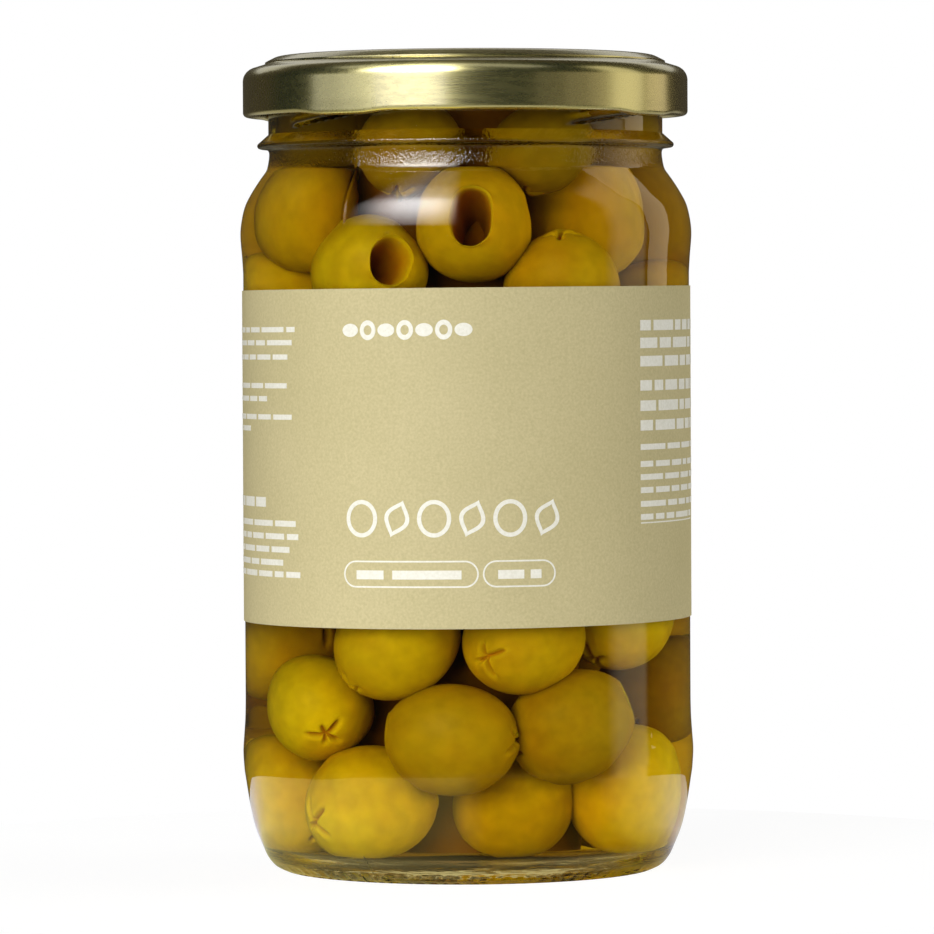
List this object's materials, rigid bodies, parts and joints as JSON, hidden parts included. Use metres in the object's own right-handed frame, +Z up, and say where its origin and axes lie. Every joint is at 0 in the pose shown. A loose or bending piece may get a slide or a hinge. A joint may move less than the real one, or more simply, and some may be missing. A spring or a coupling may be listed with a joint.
{
  "type": "jar of olives",
  "caption": "Round glass jar packed with pitted green olives in brine, with a gold metal twist-off lid and a plain paper wrap label.",
  "frame": {"origin": "middle of the foot ring that the jar stands on", "axes": "+Z up the jar's axis; the side shown in the picture faces -Y"},
  "size_m": [0.0706, 0.0706, 0.127],
  "materials": {
    "clear_glass": "clear, smooth, faintly green at the edges",
    "gold_lacquered_tin": "glossy gold lacquer over fine rolled grain",
    "beige_paper": "matte, uncoated, printed in cream",
    "green_olive": "smooth wet skin, yellow green with browner patches"
  },
  "bodies": {
    "root": {"glass_jar": "clear_glass", "lid": "gold_lacquered_tin", "label": "beige_paper", "olives": "green_olive"}
  },
  "joints": []
}
